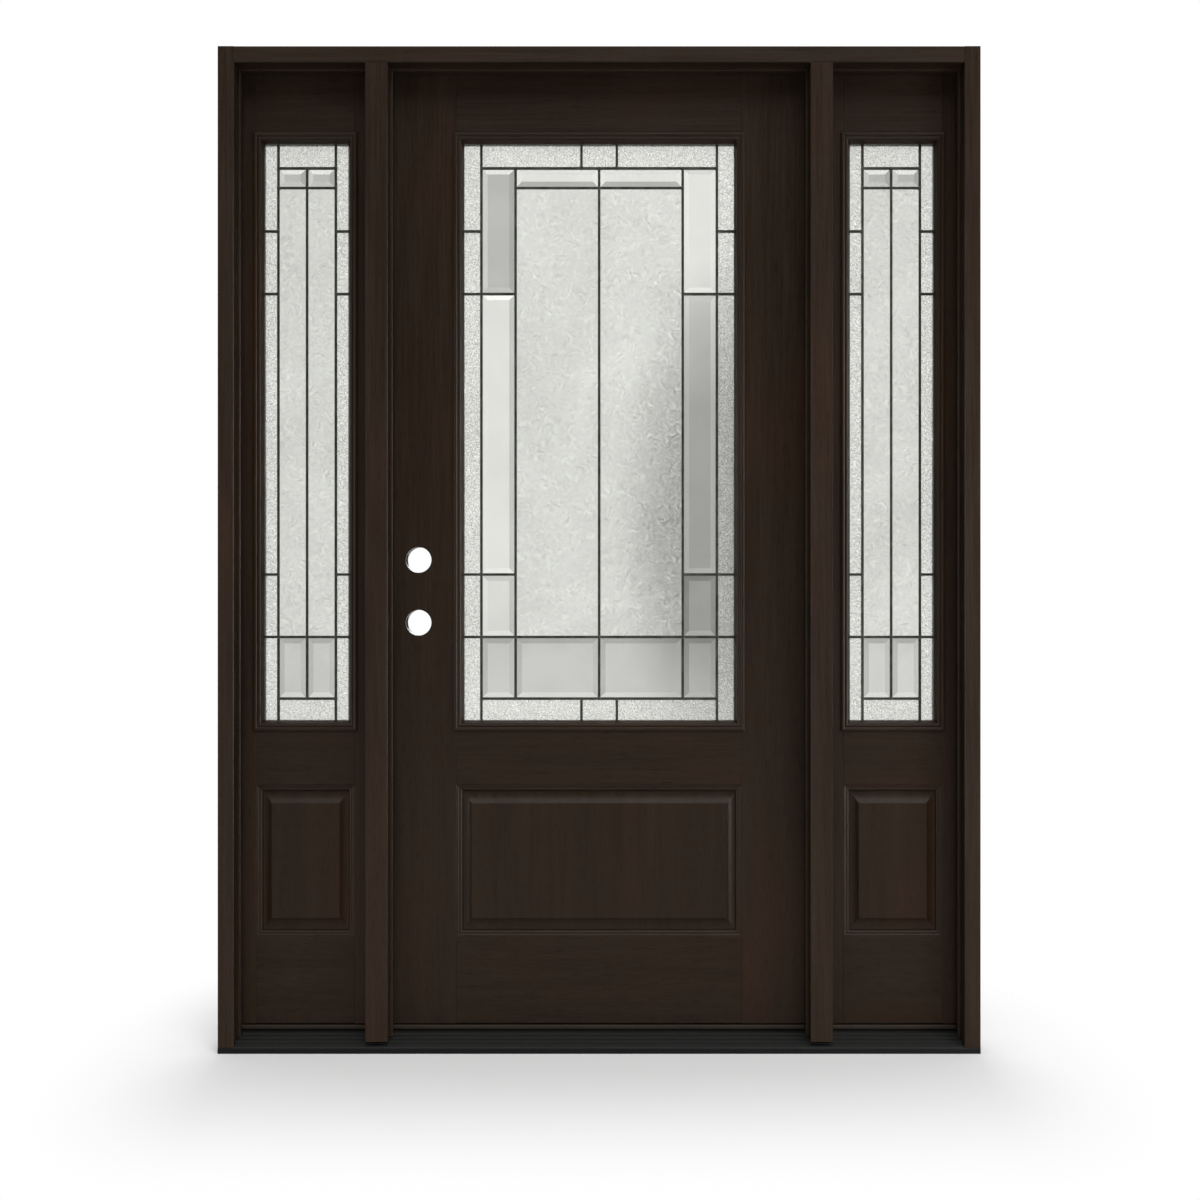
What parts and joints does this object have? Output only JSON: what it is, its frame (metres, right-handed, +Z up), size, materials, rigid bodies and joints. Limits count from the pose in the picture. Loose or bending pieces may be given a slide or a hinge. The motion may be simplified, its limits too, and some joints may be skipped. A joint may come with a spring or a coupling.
{
  "type": "entry door with two sidelights",
  "caption": "In-swing entry door hung between two fixed sidelights in one timber frame, with leaded lights, raised panels, a ribbed sill and lock bores ready for a lockset.",
  "frame": {"origin": "centre of the sill's underside, midway across the frame and midway through its depth", "axes": "+Z up, +Y into the house, so the outside face looks along -Y, +X to the right seen from outside"},
  "size_m": [1.572, 0.1285, 2.076],
  "materials": {
    "frame_wood": "dark brown stain, satin",
    "leaf_wood": "dark brown stain over wood grain, satin",
    "lead_came": "black patina on lead came",
    "glass": "textured and bevelled clear glass",
    "sill_metal": "dark bronze anodised",
    "sill_substrate": "dark composite",
    "sill_cap": "brown composite, satin",
    "seal": "black foam and vinyl",
    "hinge_metal": "oil rubbed bronze plate"
  },
  "bodies": {
    "frame": {"door_sill_cap": "sill_cap", "door_weatherstrip": "seal", "frame_hinge_leaves": "hinge_metal", "head_jamb": "frame_wood", "left_jamb": "frame_wood", "left_post": "frame_wood", "left_sidelight_bottom_rail": "leaf_wood", "left_sidelight_cames": "lead_came", "left_sidelight_glass": "glass", "left_sidelight_inner_stile": "leaf_wood", "left_sidelight_lite_frames": "leaf_wood", "left_sidelight_mid_rail": "leaf_wood", "left_sidelight_outer_stile": "leaf_wood", "left_sidelight_panel_mouldings": "leaf_wood", "left_sidelight_raised_panel": "leaf_wood", "left_sidelight_seal": "seal", "left_sidelight_top_rail": "leaf_wood", "right_jamb": "frame_wood", "right_post": "frame_wood", "right_sidelight_bottom_rail": "leaf_wood", "right_sidelight_cames": "lead_came", "right_sidelight_glass": "glass", "right_sidelight_inner_stile": "leaf_wood", "right_sidelight_lite_frames": "leaf_wood", "right_sidelight_mid_rail": "leaf_wood", "right_sidelight_outer_stile": "leaf_wood", "right_sidelight_panel_mouldings": "leaf_wood", "right_sidelight_raised_panel": "leaf_wood", "right_sidelight_seal": "seal", "right_sidelight_top_rail": "leaf_wood", "sidelight_sill_caps": "sill_cap", "sill_base": "sill_substrate", "sill_tread": "sill_metal"},
    "door": {"door_bottom_rail": "leaf_wood", "door_cames": "lead_came", "door_glass": "glass", "door_hinge_leaves": "hinge_metal", "door_hinge_stile": "leaf_wood", "door_lite_frames": "leaf_wood", "door_lock_stile": "leaf_wood", "door_mid_rail": "leaf_wood", "door_panel_mouldings": "leaf_wood", "door_raised_panel": "leaf_wood", "door_sweep": "seal", "door_top_rail": "leaf_wood"}
  },
  "joints": [
    {"name": "door_swing", "type": "hinge", "parent": "frame", "child": "door", "pos_m": [0.4425, 0.0645, 0], "axis": [0, 0, -1], "range_deg": [0, 170]}
  ]
}
